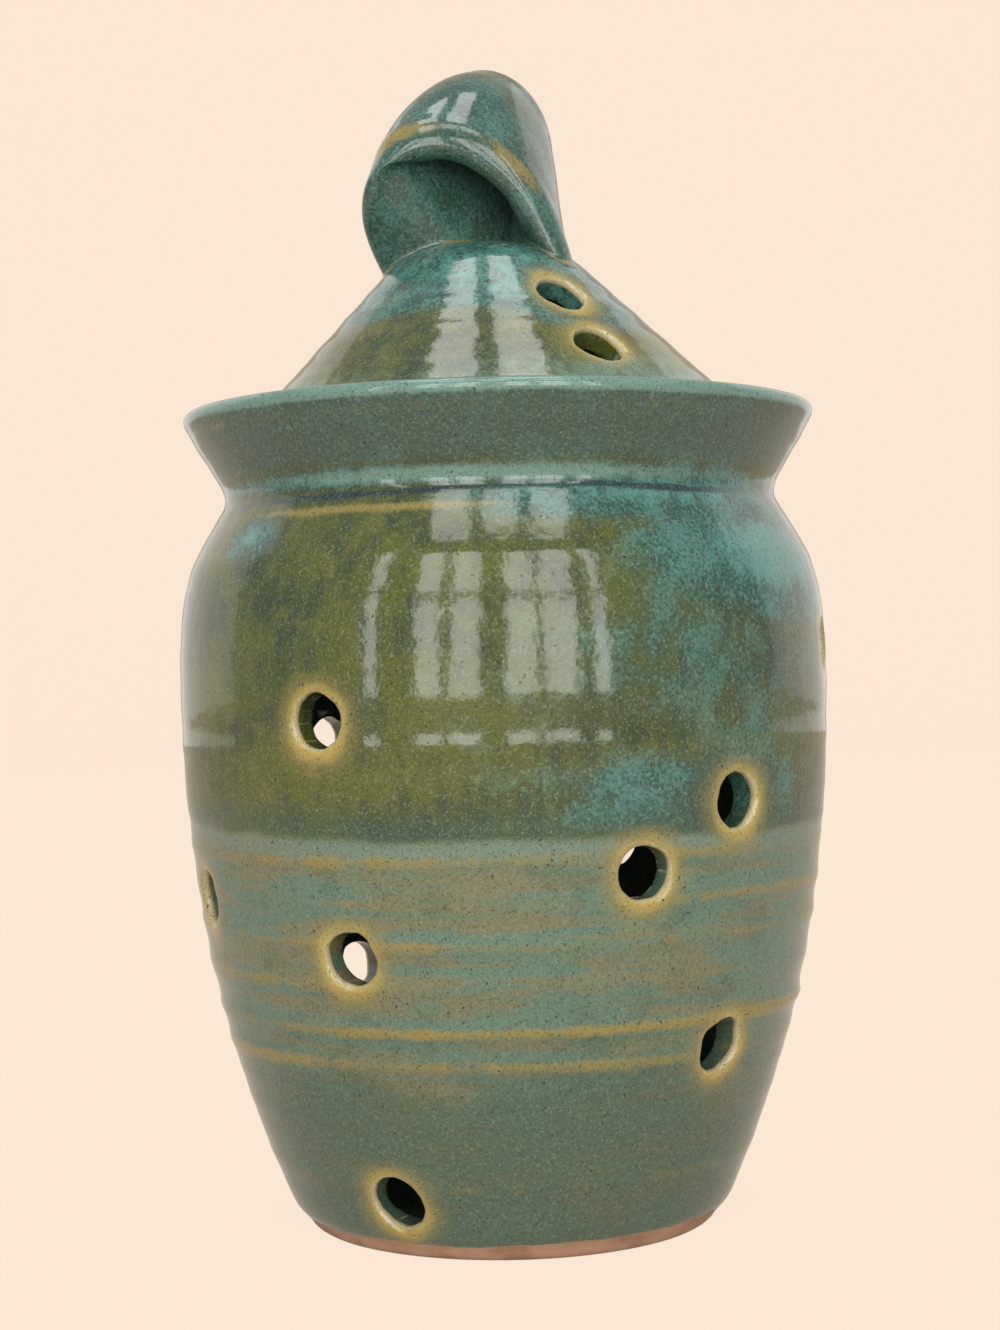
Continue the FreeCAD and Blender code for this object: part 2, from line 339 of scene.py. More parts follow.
class Pot:
    """The mesh of a thrown form: a grid of turns and rows, with its holes cut in and rounded."""

    def __init__(self, form, columns, spacing, finest):
        self.form = form
        self.columns = columns
        self.turns = np.linspace(-math.pi, math.pi, columns, endpoint=False)
        self.runs = form.rows(spacing, finest)
        grid_turn, grid_run = np.meshgrid(self.turns, self.runs)
        self.points = [form.at(grid_turn, grid_run).reshape(-1, 3)]
        self.turn = [grid_turn.ravel()]
        self.run = [grid_run.ravel()]
        self.hole = [np.full(grid_turn.size, OUT_OF_REACH)]
        self.count = grid_turn.size
        self.open = np.ones((len(self.runs) - 1, columns), bool)
        self.faces = []
        self.drilled = []

    def add(self, points, turn, run, hole):
        first = self.count
        self.points.append(points)
        for store, value in ((self.turn, turn), (self.run, run), (self.hole, hole)):
            store.append(np.broadcast_to(value, len(points)))
        self.count += len(points)
        return np.arange(first, self.count)

    def patch(self, turn, run, half_columns, half_rows):
        """Clears a rectangle of cells and returns its border's vertices, in order."""
        column = int(round((turn + math.pi) / (2 * math.pi) * self.columns))
        row = int(np.argmin(np.abs(self.runs - run)))
        left, right = column - half_columns, column + half_columns
        low, high = row - half_rows, row + half_rows
        self.open[low:high, np.arange(left, right) % self.columns] = False
        border = [(low, c) for c in range(left, right)]
        border += [(r, right) for r in range(low, high)]
        border += [(high, c) for c in range(right, left, -1)]
        border += [(r, left) for r in range(high, low, -1)]
        rows = np.array([r for r, _ in border])
        cols = np.array([c for _, c in border])
        turns = -math.pi + cols * (2 * math.pi / self.columns)
        return rows * self.columns + cols % self.columns, turns, self.runs[rows]

    def band(self, inner, outer):
        """Quads between two closed rings of vertices."""
        after = np.roll(np.arange(len(inner)), -1)
        self.faces.append(np.stack([outer, outer[after], inner[after], inner], axis=1))

    def near_holes(self, outside, sunk=0.0):
        """Distance on the outer skin from the nearest hole's edge, or from one sunk below it."""
        nearest = np.concatenate(self.hole)
        points = np.vstack(self.points)
        for hole in self.drilled:
            offset = points - hole.origin + np.array([0.0, 0.0, sunk])
            depth = offset @ hole.outward
            away = np.linalg.norm(offset - depth[:, None] * hole.outward, axis=1) - hole.radius
            reached = outside & (depth > -12.0) & (nearest > 0.0)
            nearest = np.where(reached, np.minimum(nearest, np.maximum(away, 0.0)), nearest)
        return nearest

    def approach(self, hole, turn, run, halves, edge, within):
        """Opens the skin round a hole and closes in on it, up to where its edge starts to round."""
        ring, turns, runs = self.patch(turn, run, *halves)
        here = self.form.at(turns, runs) - hole.origin
        angle = np.unwrap(np.arctan2(here @ hole.climb, here @ hole.across))
        wide = (hole.radius + edge) * hole.waver(angle)
        start = np.full(len(angle), turn), np.full(len(angle), run)
        hit_turn, hit_run = self.form.meet(hole, wide * np.cos(angle), wide * np.sin(angle), *start)
        distance = np.hypot(here @ hole.across, here @ hole.climb) - hole.radius
        for layer in range(1, SKIN_LAYERS + 1):
            share = 1.0 - (1.0 - layer / SKIN_LAYERS) ** 1.25
            mid_turn = turns + (hit_turn - turns) * share
            mid_run = runs + (hit_run - runs) * share
            away = ON_INNER_SKIN if within else distance + (edge - distance) * share
            vertices = self.add(self.form.at(mid_turn, mid_run), mid_turn, mid_run, away)
            self.band(vertices, ring)
            ring = vertices
        depth = (self.form.at(hit_turn, hit_run) - hole.origin) @ hole.outward
        return ring, angle, depth

    def drill(self, hole, outer_run, inner_run, reach):
        """A hole from the outer to the inner surface, with a soft edge at both ends."""
        self.drilled.append(hole)
        x, y, z = hole.origin
        turn = math.atan2(x - self.form.lean(np.array(z)), -y)
        column_width = 2 * math.pi / self.columns * math.hypot(x, y)
        row_height = abs(np.interp(outer_run, self.runs[:-1], np.diff(self.runs)))
        halves = [int(math.ceil(reach / width)) for width in (column_width, row_height)]
        before, angle, depth = self.approach(hole, turn, outer_run, halves, HOLE_EDGE, False)
        inner_ring, inner_angle, inner_depth = self.approach(
            hole, turn, inner_run, halves, HOLE_INNER_EDGE, True,
        )
        first = int(np.argmin(np.abs(np.angle(np.exp(1j * (inner_angle - angle[0]))))))
        direction = 1 if (inner_angle[-1] - inner_angle[0]) * (angle[-1] - angle[0]) > 0 else -1
        order = [(first + direction * step) % len(inner_angle) for step in range(len(inner_angle))]
        inner_angle = inner_angle[order]
        waver = hole.waver(angle)
        for size, reached, share in bore_steps(hole.radius, depth, inner_depth[order]):
            blend = np.exp(1j * angle) * (1 - share) + np.exp(1j * inner_angle) * share
            points = hole.ring(size * waver, np.angle(blend), reached)
            away = size - hole.radius if share == 0.0 else -6.0 * share
            vertices = self.add(points, turn, outer_run, away)
            self.band(vertices, before)
            before = vertices
        self.band(inner_ring[order], before)

    def mesh(self, name):
        rows, columns = np.nonzero(self.open)
        after = (columns + 1) % self.columns
        base = rows * self.columns
        above = (rows + 1) * self.columns
        quads = [np.stack([base + columns, base + after, above + after, above + columns], axis=1)]
        alias = np.arange(self.count)
        last = (len(self.runs) - 1) * self.columns
        alias[:self.columns] = 0
        alias[last:last + self.columns] = last
        return make_mesh(name, np.vstack(self.points), alias[np.vstack(quads + self.faces)])


def make_mesh(name, points, quads):
    """A smooth mesh from points in millimetres, without the vertices that no face uses."""
    used = np.zeros(len(points), bool)
    used[quads.ravel()] = True
    number = np.cumsum(used) - 1
    mesh = bpy.data.meshes.new(name)
    faces = [list(dict.fromkeys(face)) for face in number[quads].tolist()]
    mesh.from_pydata((points[used] * MM).tolist(), [], faces)
    mesh.validate()
    mesh.polygons.foreach_set("use_smooth", np.ones(len(mesh.polygons), bool))
    piece = bpy.data.objects.new(name, mesh)
    bpy.context.scene.collection.objects.link(piece)
    return piece, used


def paint(piece, used, **layers):
    """Stores one number per vertex and layer for the glaze to read."""
    for name, plain in LAYERS.items():
        values = np.broadcast_to(layers.get(name, plain), used.shape)
        layer = piece.data.attributes.new(name, "FLOAT", "POINT")
        layer.data.foreach_set("value", np.ascontiguousarray(values[used], np.float32))


def wander(turn, level):
    """How far the jar's wall strays from a true circle, outwards."""
    tall = np.clip(level / RIM[1], 0.0, 1.0)
    low = 0.35 * waves(turn, 11, 3) * (1.0 - 0.3 * tall)
    high = 0.30 * waves(turn, 12, 4) * smooth_step(110.0, 134.0, level)
    return low * smooth_step(3.0, 40.0, level) + high


def throwing(level, turn, seed, size):
    """Fine lines that fingers draw on the turning clay, climbing a little in each turn."""
    rng = np.random.default_rng(seed)
    climb = level - turn / (2 * math.pi) * 1.2
    total = np.zeros_like(level)
    for _ in range(9):
        pitch = rng.uniform(2.2, 9.0)
        total = total + np.sin(2 * math.pi * climb / pitch + rng.uniform(0, 6.3)) * pitch / 9.0
    return size * total / 3.0


def ridge_at(turn, level):
    """The ochre ridges' height, each rising and fading round the pot."""
    total = np.zeros_like(level)
    for index, (middle, height, half_width) in enumerate(RIDGES):
        strength = 0.72 + 0.28 * waves(turn, 30 + index, 5)
        shift = 0.35 * waves(turn, 60 + index, 3)
        total = total + height * strength * bump_at(level, middle + shift, half_width)
    return total


def curtain_at(turn):
    """The level where the second coat of glaze ends, round the pot."""
    return CURTAIN_LEVEL + 0.75 * waves(turn, 7, 6) + 0.25 * waves(turn, 8, 22, 0.2) - 0.7 * np.sin(turn)


def jar_marks(turn, level, out):
    """How far the jar's skin rises: its waver, ridges, finger lines and the second coat's thickness."""
    outside = (out > 0.15) & (level > 3.0)
    grip = smooth_step(3.0, 9.0, level) * (1.0 - smooth_step(130.0, 133.5, level))
    clay = ridge_at(turn, level) * 1.15 + throwing(level, turn, 3, 0.055) * grip
    coat = 0.22 * smooth_step(-0.5, 0.9, level - curtain_at(turn))
    coat = coat * (1.0 - smooth_step(128.0, 133.0, level))
    floor_to_shoulder = (1.0 - smooth_step(105.0, 118.0, level)) * smooth_step(8.0, 20.0, level)
    inner = throwing(level, turn, 5, 0.16) * floor_to_shoulder
    return wander(turn, level) * out + np.where(outside, clay + coat, np.where(out < -0.4, inner, 0.0))


def lid_marks(turn, level, out):
    """How far the lid's skin rises: a slight waver and finger lines on the cone."""
    grip = smooth_step(LID_EDGE_LEVEL + 1.0, LID_EDGE_LEVEL + 5.0, level)
    clay = throwing(level * 1.3, turn, 17, 0.07) + 0.16 * waves(turn, 18, 4)
    return np.where(out > 0.15, clay * grip, 0.0)


def swelling(level):
    """The jar's outer radius below the belly."""
    share = np.clip(level / BELLY[1], 0.0, 1.0)
    return FOOT_RADIUS + (BELLY[0] - FOOT_RADIUS) * (1.0 - (1.0 - share) ** WALL_SWELL)


def jar_line():
    """The jar's outline, from the middle of the foot round the wall to the middle of the floor."""
    foot = [
        (0, 1.6), (12, 1.6), (22.2, 1.6), (23.2, 1.4), (24.1, 0.5), (24.9, 0.05), (26.0, 0.0),
        (29, 0.0), (32.0, 0.0), (33.0, 0.1), (34.0, 0.7), (FOOT_RADIUS, 1.9),
    ]
    rise = [(swelling(level), level) for level in (4.0, 9.5, 16.0, 24.0, 33.0, 45.0, 58.0, 70.0, 82.0)]
    drop = BELLY[0] - NECK[0]
    shoulder = [BELLY] + [
        (BELLY[0] - share * drop, level) for share, level in ((0.10, 104.4), (0.33, 111.0), (0.80, 117.6))
    ]
    neck = [(NECK[0] - 0.25, 121.0), (NECK[0], 123.2), (48.9, 127.8), (51.0, 131.0)]
    lip = [
        (52.2, 133.1), (RIM[0], 134.5), (52.8, 135.5), (51.9, RIM[1]), (50.7, 136.1), (49.6, 135.2),
        (48.8, 133.8),
    ]
    seat = [
        (48.0, 132.0), (47.0, 130.4), (LEDGE_RADIUS, 129.55), (45.4, LEDGE_LEVEL), (43.5, LEDGE_LEVEL),
        (41.9, LEDGE_LEVEL - 0.1), (41.15, 128.7), (THROAT_RADIUS, 127.4), (THROAT_RADIUS, 123.0),
    ]
    throat = [(41.4, 119.3), (43.6, 114.2), (47.2, 106.5), (BELLY[0] - WALL, BELLY[1])]
    inside = [(swelling(level) - WALL, level) for level in (82, 66, 50, 36, 24, 16)]
    corner = [(35.4, 11.0), (33.6, 7.6), (31.0, 5.4), (27.5, 4.6)]
    floor = [(radius, FLOOR_LEVEL) for radius in (22, 10, 0)]
    return drawn_line(foot + rise + shoulder + neck + lip + seat + throat + inside + corner + floor, 0.15)


def lid_line():
    """The lid's outline, from under its crown down the hollow, round the flange and up the cone."""
    inset = LID_WALL / math.sin(cone_slope())

    def cone(level, shift=0.0):
        share = (level - LID_EDGE_LEVEL) / (STEM[1] - LID_EDGE_LEVEL)
        return (CONE_RADIUS + share * (STEM[0] - CONE_RADIUS) - shift, level)

    inner, outer = FLANGE_RADII
    hollow = [(0, 159.4), (4.5, 159.2), (8.0, 158.6)]
    hollow += [cone(level, inset) for level in (157.2, 152, 144, 137)]
    flange = [
        cone(133.6, inset), (inner + 0.3, 131.3), (inner, 129.6), (inner, 125), (inner, 121.6),
        (inner + 0.6, 120.6), (38.3, FLANGE_LEVEL), (outer - 0.6, 120.6), (outer, 121.6), (outer, 125),
        (outer, 128.4), (outer + 0.3, 129.1), (41.2, LEDGE_LEVEL),
    ]
    edge = [
        (44.2, LEDGE_LEVEL), (45.2, 129.5), (LID_RADIUS, 130.1), (LID_RADIUS, 130.7), (45.1, 131.5),
        (44.0, 132.5),
    ]
    top = [cone(level) for level in (135, 140, 146, 152, 157)]
    crown = [(15.4, 161.2), (12.6, 162.8), (9.0, 164.0), (4.6, 164.7), (0, CROWN_LEVEL)]
    return drawn_line(hollow + flange + edge + top + crown, 0.15)


def cone_slope():
    """The angle of the lid's cone above the level."""
    return math.atan2(STEM[1] - LID_EDGE_LEVEL, CONE_RADIUS - STEM[0])


def jar_lean(level):
    """The jar stands upright."""
    return np.zeros_like(level)


def lid_lean(level):
    """How far the lid's middle strays to the side at a level."""
    levels = (LID_EDGE_LEVEL - 1.0, LID_EDGE_LEVEL + 0.6, STEM[1])
    return np.interp(level, levels, (0.0, *CONE_SHIFTS))


def run_where(form, miss, allowed):
    """The run at which a measure is nearest to zero, among the allowed runs."""
    cost = np.where(allowed, np.abs(miss), np.inf)
    return form.run[int(np.argmin(cost))]


def build_jar():
    form = Thrown(jar_line(), jar_marks, jar_lean)
    pot = Pot(form, 384, 0.92, 0.42)
    level = form.flat(form.run)[1]
    lip_run = form.run[int(np.argmax(level))]
    for index, (degrees, height) in enumerate(JAR_HOLES):
        turn = math.radians(degrees)
        outer_run = run_where(form, level - height, form.run < lip_run)
        inner_run = run_where(form, level - height, form.run > lip_run)
        origin = form.at(np.array(turn), np.array(outer_run))
        outward = np.array([math.sin(turn), -math.cos(turn), 0.0])
        hole = Hole(origin, outward, np.array([0.0, 0.0, 1.0]), HOLE_RADIUS, 100 + index)
        pot.drill(hole, outer_run, inner_run, HOLE_PATCH)
    piece, used = pot.mesh("stoneware_jar")
    paint_jar(piece, used, pot, lip_run)
    return piece


def paint_jar(piece, used, pot, lip_run):
    """The jar's layers: where clay is bare, where the glaze is teal, breaks, ends, pales or darkens, and a
    painted highlight along the lip.
    """
    turn, run = np.concatenate(pot.turn), np.concatenate(pot.run)
    level = np.vstack(pot.points)[:, 2]
    outside = run < lip_run
    foot_line = 2.6 + 1.2 * np.cos(turn - 0.5) + 0.5 * waves(turn, 21, 9)
    seat = (np.abs(level - LEDGE_LEVEL) < 0.6) & ~outside
    bare = np.where(seat, 2.0, np.where(outside, foot_line - level, -9.0))
    teal = 0.62 * smooth_step(122.5, 126.0, level) * outside
    for middle, height, wide, tall, strength in JAR_TEAL:
        away = (turn_gap(turn, middle) / wide) ** 2 + ((level - height) / tall) ** 2
        teal = np.maximum(teal, strength * np.exp(-away))
    under_lip = 0.62 * bump_at(level, 132.4, 1.0) * (0.85 + 0.3 * waves(turn, 23, 5))
    shoulder = 0.55 * bump_at(level, 117.6, 0.9) * (0.6 + 0.6 * waves(turn, 24, 5))
    ridge = outside * np.maximum(ridge_at(turn, level) / 0.34, np.maximum(under_lip, shoulder))
    neck_band = bump_at(level, 122.5, 1.7) * outside * (0.85 + 0.35 * waves(turn, 27, 4))
    neck_line = bump_at(level, 119.9 + 0.5 * waves(turn, 25, 7), 0.75) * (0.8 + 0.4 * waves(turn, 26, 6))
    flare_line = 0.62 * bump_at(level, 130.9, 0.45) * (0.8 + 0.4 * waves(turn, 28, 6))
    flare = smooth_step(123.5, 126.5, level) * (1.0 - smooth_step(133.2, 134.4, level))
    paint(
        piece, used,
        hole=pot.near_holes(outside),
        drip=pot.near_holes(outside, HALO_SINK),
        bare=bare,
        teal=teal,
        ridge=ridge,
        curtain=np.where(outside, level - curtain_at(turn), -8.0),
        # pale: a painted highlight along the lip's rounded top, plus the pale turquoise band round the
        # neck
        pale=smooth_step(133.7, 134.5, level) + neck_band,
        dark=np.maximum(neck_line, flare_line) * outside,
        even=0.85 * flare * outside,
    )


def build_lid():
    form = Thrown(lid_line(), lid_marks, lid_lean)
    pot = Pot(form, 320, 0.8, 0.4)
    radius, level = form.flat(form.run)[:2]
    flange_run = form.run[int(np.argmin(level))]
    on_cone = (form.run > flange_run) & (radius < LID_RADIUS - 2)
    in_hollow = (form.run < flange_run) & (level > 133.0)
    slope = cone_slope()
    for number, degrees in enumerate(LID_HOLE_TURNS):
        turn = math.radians(degrees)
        face = np.array([math.sin(turn), -math.cos(turn), 0.0])
        outward = face * math.sin(slope) + np.array([0.0, 0.0, math.cos(slope)])
        climb = -face * math.cos(slope) + np.array([0.0, 0.0, math.sin(slope)])
        for place, height in enumerate(LID_HOLE_LEVELS):
            outer_run = run_where(form, level - height, on_cone)
            origin = form.at(np.array(turn), np.array(outer_run))
            offset = form.at(np.full_like(form.run, turn), form.run) - origin
            inner_run = run_where(form, offset @ climb, in_hollow)
            hole = Hole(origin, outward, climb, LID_HOLE_RADIUS, 140 + 10 * number + place)
            pot.drill(hole, outer_run, inner_run, LID_HOLE_PATCH)
    piece, used = pot.mesh("stoneware_lid")
    paint_lid(piece, used, pot, flange_run)
    return piece, form


def paint_lid(piece, used, pot, flange_run):
    """The lid's layers: a teal crown, a pale lower cone that is partly painted reflection, ochre rings and
    a bare flange.
    """
    turn, run = np.concatenate(pot.turn), np.concatenate(pot.run)
    level = np.vstack(pot.points)[:, 2]
    outside = run > flange_run
    crown = smooth_step(145.0, 152.5, level + 2.0 * waves(turn, 41, 5))
    low_ring = 0.55 * bump_at(level, 136.8, 1.2) * (0.6 + 0.7 * waves(turn, 44, 4))
    # The lower cone's pale: partly the glaze's own pale grey-green, partly painted reflection
    low_cone_pale_and_painted_reflection = 0.62 * (1.0 - smooth_step(138.0, 147.0, level))
    paint(
        piece, used,
        hole=pot.near_holes(outside),
        drip=pot.near_holes(outside, HALO_SINK),
        bare=np.where(level < 129.9, np.where(outside, 130.0 - level, 2.0), -9.0),
        teal=np.maximum(crown, 0.55 * bump_at(level, 132.5, 1.2)),
        ridge=outside * (low_ring + 0.4 * bump_at(level, 146.8, 2.2)),
        pale=outside * (low_cone_pale_and_painted_reflection + 0.25 * waves(turn, 43, 6)),
    )


def spline(knots, values, where):
    """A natural cubic spline through values at knots, read at any places."""
    knots = np.array(knots, float)
    values = np.array(values, float)
    step = np.diff(knots)
    slopes = np.diff(values, axis=0) / step[:, None]
    count = len(knots)
    system = np.eye(count)
    right = np.zeros_like(values)
    for index in range(1, count - 1):
        before, after = step[index - 1], step[index]
        system[index, index - 1:index + 2] = before, 2 * (before + after), after
        right[index] = 6 * (slopes[index] - slopes[index - 1])
    bend = np.linalg.solve(system, right)
    where = np.asarray(where, float)
    cell = np.clip(np.searchsorted(knots, where) - 1, 0, count - 2)
    span = step[cell][..., None]
    left = (where - knots[cell])[..., None]
    rest = span - left
    curve = (bend[cell] * rest ** 3 + bend[cell + 1] * left ** 3) / (6 * span)
    curve += (values[cell] / span - bend[cell] * span / 6) * rest
    curve += (values[cell + 1] / span - bend[cell + 1] * span / 6) * left
    return curve


def unit(vectors):
    return vectors / np.linalg.norm(vectors, axis=-1, keepdims=True)


def squared(angle):
    """An angle's cosine and sine, drawn out towards the corners of a square."""
    power = 2.0 / STRAP_SQUARENESS
    return [np.sign(part) * np.abs(part) ** power for part in (np.cos(angle), np.sin(angle))]


class Strap:
    """The handle's strap: a wide section carried along two edge lines, up, over and down."""

    def __init__(self):
        scale = np.array([LOOP_HALF_SPAN, LOOP_HALF_DEPTH, LOOP_RISE])
        foot = np.array([LOOP_SHIFT, 0.0, STEM[1]])
        self.front = np.array([front for front, _ in STRAP_STATIONS]) * scale + foot
        self.back = np.array([back for _, back in STRAP_STATIONS]) * scale + foot
        self.middle = 0.5 * (self.front + self.back)
        steps = np.linalg.norm(np.diff(self.middle, axis=0), axis=1)
        self.knots = np.concatenate([[0.0], np.cumsum(steps)])
        self.length = self.knots[-1]

    def at(self, angle, place):
        """Points of the skin at an angle round the section and a place along the strap."""
        angle, place = np.broadcast_arrays(angle, place)
        front = spline(self.knots, self.front, place)
        back = spline(self.knots, self.back, place)
        ahead = spline(self.knots, self.middle, place + 0.3) - spline(self.knots, self.middle, place - 0.3)
        across = back - front
        share = place / self.length
        size = STRAP_THICKNESS + STRAP_SWELL * np.sin(math.pi * share)
        width = 0.5 * (np.linalg.norm(across, axis=-1) + size)
        across = unit(across)
        ahead = unit(ahead - across * np.sum(ahead * across, axis=-1, keepdims=True))
        outward = np.cross(ahead, across)
        wide, thick = squared(angle)
        over = np.clip(np.sin(angle), 0.0, 1.0) ** 0.5
        border = 0.5 * bump_at(np.abs(wide), 0.80, 0.13)
        crown = (-0.5 + 2.3 * bump_at(share, 0.42, 0.14)) * np.clip(1 - wide ** 2, 0, 1) ** 1.5
        pressed = 0.22 * np.sin(place * 0.33 + 3.0 * wide) * np.abs(thick)
        rise = size * 0.5 * thick + over * (border + crown) + pressed
        return 0.5 * (front + back) + across * (width * wide)[..., None] + outward * rise[..., None]


def lid_gap(points, form):
    """How far points lie outside the lid's outer skin, and the skin's normal there."""
    radius, level, out, up = form.flat(form.run)
    outer = (form.run > form.run[int(np.argmin(level))]) & (level > LID_EDGE_LEVEL)
    skin = np.stack([radius[outer], level[outer]], axis=1)[::2]
    normals = np.stack([out[outer], up[outer]], axis=1)[::2]
    shifted = points[..., 0] - lid_lean(points[..., 2])
    away = np.hypot(shifted, points[..., 1])
    flat = np.stack([away, points[..., 2]], axis=-1)
    shape = flat.shape[:-1]
    flat = flat.reshape(-1, 2)
    nearest = np.concatenate([
        np.argmin(((part[:, None, :] - skin[None]) ** 2).sum(-1), axis=1)
        for part in np.array_split(flat, max(1, len(flat) // 2000))
    ])
    gap = ((flat - skin[nearest]) * normals[nearest]).sum(-1).reshape(shape)
    side = np.stack([shifted, points[..., 1]], axis=-1) / np.maximum(away, 1e-6)[..., None]
    near = normals[nearest].reshape(shape + (2,))
    return gap, np.concatenate([side * near[..., :1], near[..., 1:]], axis=-1)


def even_angles():
    """Angles round the strap's section whose points lie evenly along its skin."""
    dense = np.linspace(0, 2 * math.pi, 2000)
    wide, thick = squared(dense)
    oval = np.stack([12.0 * wide, 3.6 * thick], axis=1)
    walked = np.concatenate([[0], np.cumsum(np.linalg.norm(np.diff(oval, axis=0), axis=1))])
    return np.interp(np.linspace(0, walked[-1], STRAP_COLUMNS, endpoint=False), walked, dense)


def softened(values):
    """Values round the section, each drawn towards its neighbours."""
    for _ in range(3):
        values = 0.5 * values + 0.25 * (np.roll(values, -1) + np.roll(values, 1))
    return values


def strap_feet(strap, angles, form):
    """The places along the strap at which each line of its skin leaves the lid and meets it again."""
    places = np.linspace(0.5, strap.length - 0.5, 240)
    gap, _ = lid_gap(strap.at(angles[None, :], places[:, None]), form)
    top = int(np.argmax(gap.min(axis=1)))
    starts, ends = [], []
    for column in range(len(angles)):
        low = top - int(np.argmax(gap[top::-1, column] <= 0))
        high = top + int(np.argmax(gap[top:, column] <= 0))
        starts.append(np.interp(0, gap[[low, low + 1], column], places[[low, low + 1]]))
        ends.append(np.interp(0, gap[[high, high - 1], column], places[[high, high - 1]]))
    return softened(np.array(starts)), softened(np.array(ends))


def foot_fillet(strap, angles, feet, sign, form):
    """Rows from under the lid's skin, up a small fillet, onto the strap."""
    touch = strap.at(angles, feet)
    edge = strap.at(angles, feet + sign * FILLET)
    gap, normal = lid_gap(touch, form)
    touch = touch - normal * gap[:, None]
    along = np.roll(touch, -1, axis=0) - np.roll(touch, 1, axis=0)
    away = unit(np.cross(normal, along))
    away *= np.sign(np.sum(away * (touch - touch.mean(axis=0)), axis=1, keepdims=True))
    far = under_skin(touch + away * FILLET * 1.1, form, 0.04)
    last = under_skin(far + away * 0.7, form, 0.5)
    share = np.linspace(0, 1, FILLET_ROWS)[:-1][:, None, None]
    curve = (1 - share) ** 2 * far + 2 * share * (1 - share) * touch + share ** 2 * edge
    return np.concatenate([last[None], curve])


def under_skin(points, form, depth):
    """Points moved square to the lid's skin until they lie a depth under it."""
    gap, normal = lid_gap(points, form)
    return points - normal * (gap[:, None] + depth)


def build_handle(form):
    strap = Strap()
    angles = even_angles()
    starts, ends = strap_feet(strap, angles, form)
    share = np.linspace(0, 1, STRAP_ROWS)[:, None]
    rings = strap.at(angles[None, :], (starts + FILLET) * (1 - share) + (ends - FILLET) * share)
    first_foot = foot_fillet(strap, angles, starts, 1.0, form)
    last_foot = foot_fillet(strap, angles, ends, -1.0, form)
    grid = np.concatenate([first_foot, rings, last_foot[::-1]])
    count, around = grid.shape[:2]
    rows, columns = np.divmod(np.arange((count - 1) * around), around)
    after = (columns + 1) % around
    low, high = rows * around, (rows + 1) * around
    quads = np.stack([low + columns, low + after, high + after, high + columns], axis=1)
    piece, used = make_mesh("stoneware_handle", grid.reshape(-1, 3), quads)
    paint_handle(piece, used, angles, count)
    return piece


def paint_handle(piece, used, angles, count):
    """The handle's layers: sea green that breaks to ochre along the strap's borders and at its feet."""
    wide = np.tile(squared(angles)[0], count)
    over = np.tile(np.clip(np.sin(angles) * 1.6 + 0.35, 0, 1), count)
    share = np.repeat(np.linspace(0, 1, count), len(angles))
    border = over * bump_at(np.abs(wide), 0.83, 0.13) * (0.75 + 0.35 * np.sin(share * 23.0 + 2.0 * wide))
    border *= 1.0 - 0.55 * smooth_step(0.62, 0.8, share)
    row = np.minimum(share, 1 - share) * count
    seam = 0.9 * bump_at(row, 5.0, 3.0) * (0.5 + 0.5 * np.sin(wide * 5.0 + 1.0))
    paint(piece, used, teal=0.66, ridge=np.maximum(border, seam), even=0.35)


class Surface:
    """A material's nodes, built from small steps: each step adds nodes and returns their output."""

    def __init__(self, name):
        self.material = bpy.data.materials.new(name)
        self.material.use_nodes = True
        self.tree = self.material.node_tree
        self.shader = self.tree.nodes["Principled BSDF"]

    def put(self, kind, values=(), **settings):
        made = self.tree.nodes.new(kind)
        for key, value in settings.items():
            setattr(made, key, value)
        for socket, value in zip(made.inputs, values):
            self.feed(socket, value)
        return made

    def feed(self, socket, value):
        if isinstance(value, bpy.types.NodeSocket):
            self.tree.links.new(value, socket)
        else:
            socket.default_value = value

    def layer(self, name):
        return self.put("ShaderNodeAttribute", attribute_name=name).outputs["Fac"]

    def sum(self, total, *others):
        for value in others:
            total = self.put("ShaderNodeMath", (total, value), operation="ADD").outputs[0]
        return total

    def times(self, a, b):
        return self.put("ShaderNodeMath", (a, b), operation="MULTIPLY").outputs[0]

    def sway(self, noise, size):
        """A noise moved to swing about zero, times a size."""
        return self.times(self.sum(noise, -0.5), size)

    def ramp(self, value, low, high, bottom=0.0, top=1.0):
        """A soft step from bottom to top while the value goes from low to high."""
        places = (value, low, high, bottom, top)
        return self.put("ShaderNodeMapRange", places, interpolation_type="SMOOTHSTEP").outputs[0]

    def mix(self, share, a, b):
        made = self.put("ShaderNodeMix", data_type="RGBA")
        for place, value in ((0, share), (6, a), (7, b)):
            self.feed(made.inputs[place], (*value, 1.0) if isinstance(value, tuple) else value)
        return made.outputs[2]


